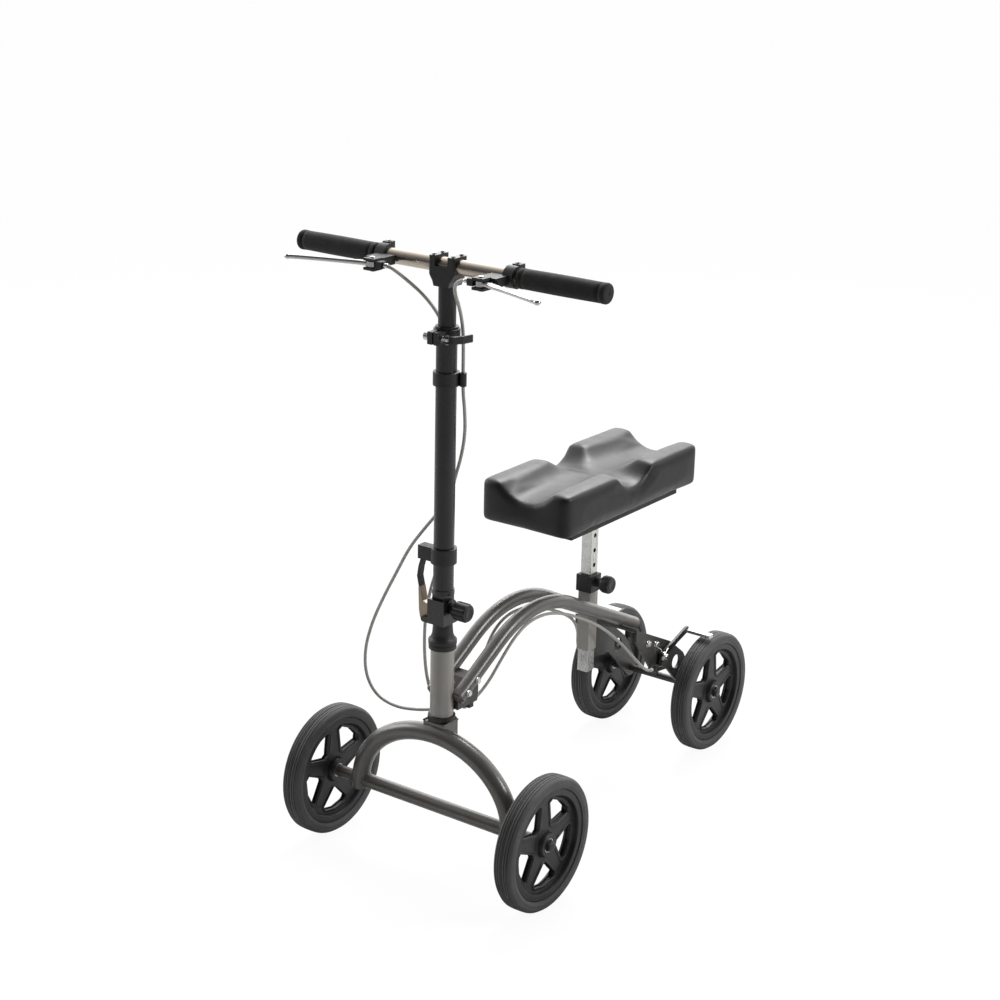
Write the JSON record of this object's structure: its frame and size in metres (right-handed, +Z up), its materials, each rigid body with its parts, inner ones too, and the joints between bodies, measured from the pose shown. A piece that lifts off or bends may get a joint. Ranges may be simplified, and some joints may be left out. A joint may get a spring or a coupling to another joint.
{
  "type": "knee_scooter",
  "caption": "Four-wheeled knee scooter with a padded knee rest on a square post, a folding steering column, height-adjustable handlebar and hand-lever rear brakes.",
  "frame": {"origin": "on the floor, under the middle of the scooter's overall length and width", "axes": "+X towards the rider's left, +Y backwards (the scooter drives towards -Y), +Z up"},
  "size_m": [0.53, 0.829, 0.931],
  "materials": {
    "tyre_rubber": "dark grey solid rubber, finely grooved round the tread",
    "rim_plastic": "moulded black nylon",
    "arch_paint": "satin gunmetal powder coat",
    "yoke_paint": "satin dark grey powder coat",
    "head_grey": "satin warm grey powder coat",
    "black_paint": "semi-gloss black powder coat",
    "zinc_steel": "bright zinc plate",
    "black_plastic": "fine-textured black moulding",
    "latch_brass": "yellow passivated zinc plate",
    "bar_alloy": "champagne anodised",
    "lever_alloy": "polished cast alloy",
    "grip_foam": "closed-cell foam",
    "pad_vinyl": "soft black upholstery vinyl over foam",
    "board_ply": "black stained plywood board and steel plate",
    "cable_cover": "grey cable housing"
  },
  "bodies": {
    "frame": {"head_tube": "head_grey", "headset_cups": "black_plastic", "frame_tubes": "arch_paint", "head_gusset": "yoke_paint", "cable_clip": "black_plastic", "seat_sleeve": "head_grey", "seat_collar": "black_plastic", "rear_yoke": "yoke_paint", "yoke_bolts": "zinc_steel", "rear_axle": "yoke_paint", "rear_axle_nuts": "black_plastic", "brake_pivots": "zinc_steel", "brake_cables_frame": "cable_cover"},
    "fork": {"front_arch": "arch_paint", "axle_beam": "arch_paint", "front_axle_nuts": "black_plastic", "fork_crown": "arch_paint", "steerer": "zinc_steel", "headset_bearings": "zinc_steel", "headset_cap": "black_plastic", "hinge_base": "black_paint", "brake_cable_loops": "cable_cover"},
    "column": {"hinge_tongue": "black_paint", "hinge_pin": "zinc_steel", "latch_catch": "black_plastic", "column_tube": "black_paint", "column_bushing": "black_plastic", "guide_ring": "black_plastic", "column_clamp": "black_plastic", "clamp_skewer": "zinc_steel", "brake_cables_column": "cable_cover"},
    "stem": {"stem_tube": "black_paint", "bar_clamp": "black_paint", "handlebar": "bar_alloy", "grips": "grip_foam", "lever_brackets": "black_plastic", "brake_cables_upper": "cable_cover"},
    "knee_rest": {"knee_post": "zinc_steel", "pad_board": "board_ply", "knee_pad": "pad_vinyl"},
    "lever_left_body": {"brake_lever_left": "lever_alloy"},
    "lever_right_body": {"brake_lever_right": "lever_alloy"},
    "clamp_lever_body": {"clamp_lever": "black_plastic"},
    "latch_body": {"latch_lever": "latch_brass", "latch_hook": "black_plastic"},
    "fold_knob_body": {"fold_knob": "black_plastic"},
    "post_knob_body": {"post_knob": "black_plastic"},
    "brake_arm_left_body": {"brake_arm_left": "black_paint", "brake_shoe_left": "zinc_steel"},
    "brake_arm_right_body": {"brake_arm_right": "black_paint", "brake_shoe_right": "zinc_steel"},
    "wheel_front_left": {"tyre_front_left": "tyre_rubber", "rim_front_left": "rim_plastic"},
    "wheel_front_right": {"tyre_front_right": "tyre_rubber", "rim_front_right": "rim_plastic"},
    "wheel_rear_left": {"tyre_rear_left": "tyre_rubber", "rim_rear_left": "rim_plastic"},
    "wheel_rear_right": {"tyre_rear_right": "tyre_rubber", "rim_rear_right": "rim_plastic"}
  },
  "joints": [
    {"name": "steering", "type": "hinge", "parent": "frame", "child": "fork", "pos_m": [0, -0.297, 0.3], "axis": [0, 0, 1], "range_deg": [-40, 40], "deforming": ["brake_cable_loops"]},
    {"name": "column_fold", "type": "hinge", "parent": "fork", "child": "column", "pos_m": [0, -0.297, 0.412], "axis": [-1, 0, 0], "range_deg": [0, 45], "deforming": ["brake_cable_loops"]},
    {"name": "stem_height", "type": "slide", "parent": "column", "child": "stem", "axis": [0, 0, 1], "range_m": [-0.05, 0.1], "deforming": ["brake_cables_upper"]},
    {"name": "knee_height", "type": "slide", "parent": "frame", "child": "knee_rest", "axis": [0, 0, -1], "range_m": [-0.1, 0.09]},
    {"name": "lever_left", "type": "hinge", "parent": "stem", "child": "lever_left_body", "pos_m": [0.0935, -0.346, 0.9105], "axis": [0, 0, 1], "range_deg": [0, 20], "stiffness_Nm_per_rad": 2},
    {"name": "lever_right", "type": "hinge", "parent": "stem", "child": "lever_right_body", "pos_m": [-0.0935, -0.346, 0.9105], "axis": [0, 0, -1], "range_deg": [0, 20], "stiffness_Nm_per_rad": 2},
    {"name": "clamp_lever", "type": "hinge", "parent": "column", "child": "clamp_lever_body", "pos_m": [0.019, -0.321, 0.816], "axis": [0, 0, -1], "range_deg": [0, 105]},
    {"name": "latch", "type": "hinge", "parent": "fork", "child": "latch_body", "pos_m": [-0.026, -0.3, 0.39], "axis": [0, -1, 0], "range_deg": [0, 70]},
    {"name": "fold_knob_turn", "type": "hinge", "parent": "column", "child": "fold_knob_body", "pos_m": [0.03, -0.297, 0.412], "axis": [1, 0, 0], "range_deg": [0, 540]},
    {"name": "post_knob_turn", "type": "hinge", "parent": "frame", "child": "post_knob_body", "pos_m": [0.03, 0.084, 0.343], "axis": [1, 0, 0], "range_deg": [0, 540]},
    {"name": "arm_left", "type": "hinge", "parent": "frame", "child": "brake_arm_left_body", "pos_m": [0.0636, 0.216, 0.186], "axis": [-1, 0, 0], "range_deg": [0, 3]},
    {"name": "arm_right", "type": "hinge", "parent": "frame", "child": "brake_arm_right_body", "pos_m": [-0.0636, 0.216, 0.186], "axis": [-1, 0, 0], "range_deg": [0, 3]},
    {"name": "spin_front_left", "type": "hinge", "parent": "fork", "child": "wheel_front_left", "pos_m": [0.1975, -0.313, 0.1015], "axis": [1, 0, 0], "continuous": true},
    {"name": "spin_front_right", "type": "hinge", "parent": "fork", "child": "wheel_front_right", "pos_m": [-0.1975, -0.313, 0.1015], "axis": [1, 0, 0], "continuous": true},
    {"name": "spin_rear_left", "type": "hinge", "parent": "frame", "child": "wheel_rear_left", "pos_m": [0.1, 0.313, 0.1015], "axis": [1, 0, 0], "continuous": true},
    {"name": "spin_rear_right", "type": "hinge", "parent": "frame", "child": "wheel_rear_right", "pos_m": [-0.1, 0.313, 0.1015], "axis": [1, 0, 0], "continuous": true}
  ],
  "couplings": [
    {"joint": "arm_left", "follows": "lever_left", "ratio": 0.15},
    {"joint": "arm_right", "follows": "lever_right", "ratio": 0.15}
  ]
}
